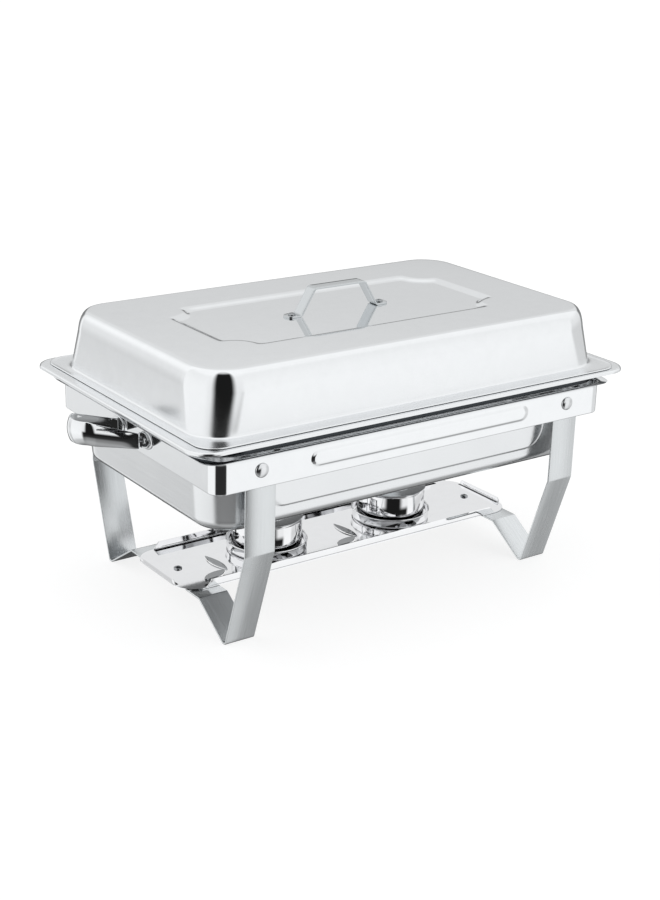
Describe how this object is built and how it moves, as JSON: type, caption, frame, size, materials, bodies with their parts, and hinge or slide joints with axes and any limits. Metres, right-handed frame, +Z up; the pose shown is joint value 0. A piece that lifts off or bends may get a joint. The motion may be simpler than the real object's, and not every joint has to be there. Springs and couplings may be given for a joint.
{
  "type": "chafing dish",
  "caption": "Full-size stainless chafing dish with a lift-off lid, nested pans, a folding strip-leg stand and gel-fuel burners on a low tray.",
  "frame": {"origin": "centre of the footprint on the table top", "axes": "+X along the dish's length, -Y is the serving side, +Z up"},
  "size_m": [0.658, 0.361, 0.331],
  "materials": {
    "lid_steel": "polished",
    "lid_handle_steel": "satin polished",
    "screw_steel": "polished",
    "water_pan_steel": "polished",
    "food_pan_steel": "satin",
    "band_steel": "polished",
    "side_handle_chrome": "bright",
    "plate_steel": "polished",
    "rivet_steel": "polished",
    "leg_steel": "brushed",
    "tray_steel": "bright polished",
    "burner_steel": "bright",
    "snuffer_steel": "polished",
    "knob_steel": "satin dark"
  },
  "bodies": {
    "stand": {"frame_band": "band_steel", "side_handle_left": "side_handle_chrome", "side_handle_right": "side_handle_chrome", "handle_plates_left": "plate_steel", "handle_plates_right": "plate_steel", "handle_rivets_left": "rivet_steel", "handle_rivets_right": "rivet_steel", "leg_pivot_rivets_left": "rivet_steel", "leg_pivot_rivets_right": "rivet_steel", "leg_washers_left": "rivet_steel", "leg_washers_right": "rivet_steel"},
    "leg_left": {"leg_strip_left": "leg_steel"},
    "leg_right": {"leg_strip_right": "leg_steel"},
    "tray": {"fuel_tray": "tray_steel", "tray_screws": "screw_steel", "tray_screw_nuts": "screw_steel"},
    "burner_left": {"burner_saucer_left": "burner_steel", "burner_can_left": "burner_steel", "burner_top_plate_left": "burner_steel", "snuffer_pin_left": "snuffer_steel"},
    "burner_right": {"burner_saucer_right": "burner_steel", "burner_can_right": "burner_steel", "burner_top_plate_right": "burner_steel", "snuffer_pin_right": "snuffer_steel"},
    "snuffer_left": {"snuffer_cover_left": "snuffer_steel", "snuffer_knob_left": "knob_steel"},
    "snuffer_right": {"snuffer_cover_right": "snuffer_steel", "snuffer_knob_right": "knob_steel"},
    "water_pan": {"water_pan": "water_pan_steel"},
    "food_pan": {"food_pan": "food_pan_steel"},
    "lid": {"lid_shell": "lid_steel", "lid_handle": "lid_handle_steel", "lid_handle_screws": "screw_steel", "lid_handle_nuts": "screw_steel"}
  },
  "joints": [
    {"name": "leg_fold_left", "type": "hinge", "parent": "stand", "child": "leg_left", "pos_m": [-0.2037, 0, 0.203], "axis": [0, -1, 0], "range_deg": [0, 30]},
    {"name": "leg_fold_right", "type": "hinge", "parent": "stand", "child": "leg_right", "pos_m": [0.2037, 0, 0.203], "axis": [0, 1, 0], "range_deg": [0, 30]},
    {"name": "tray_lift", "type": "slide", "parent": "stand", "child": "tray", "axis": [0, 0, 1], "range_m": [0, 0.032]},
    {"name": "burner_lift_left", "type": "slide", "parent": "tray", "child": "burner_left", "axis": [0, 0, 1], "range_m": [0, 0.012]},
    {"name": "burner_lift_right", "type": "slide", "parent": "tray", "child": "burner_right", "axis": [0, 0, 1], "range_m": [0, 0.012]},
    {"name": "snuffer_swing_left", "type": "hinge", "parent": "burner_left", "child": "snuffer_left", "pos_m": [-0.088, 0.033, 0.0751], "axis": [0, 0, 1], "range_deg": [0, 100]},
    {"name": "snuffer_swing_right", "type": "hinge", "parent": "burner_right", "child": "snuffer_right", "pos_m": [0.088, 0.033, 0.0751], "axis": [0, 0, 1], "range_deg": [0, 100]},
    {"name": "water_pan_lift", "type": "slide", "parent": "stand", "child": "water_pan", "axis": [0, 0, 1], "range_m": [0, 0.12]},
    {"name": "food_pan_lift", "type": "slide", "parent": "water_pan", "child": "food_pan", "axis": [0, 0, 1], "range_m": [0, 0.1]},
    {"name": "lid_lift", "type": "slide", "parent": "food_pan", "child": "lid", "axis": [0, 0, 1], "range_m": [0, 0.15]}
  ],
  "couplings": [
    {"joint": "leg_fold_right", "follows": "leg_fold_left", "ratio": 1},
    {"joint": "tray_lift", "follows": "leg_fold_left", "m_per_rad": 0.061}
  ]
}
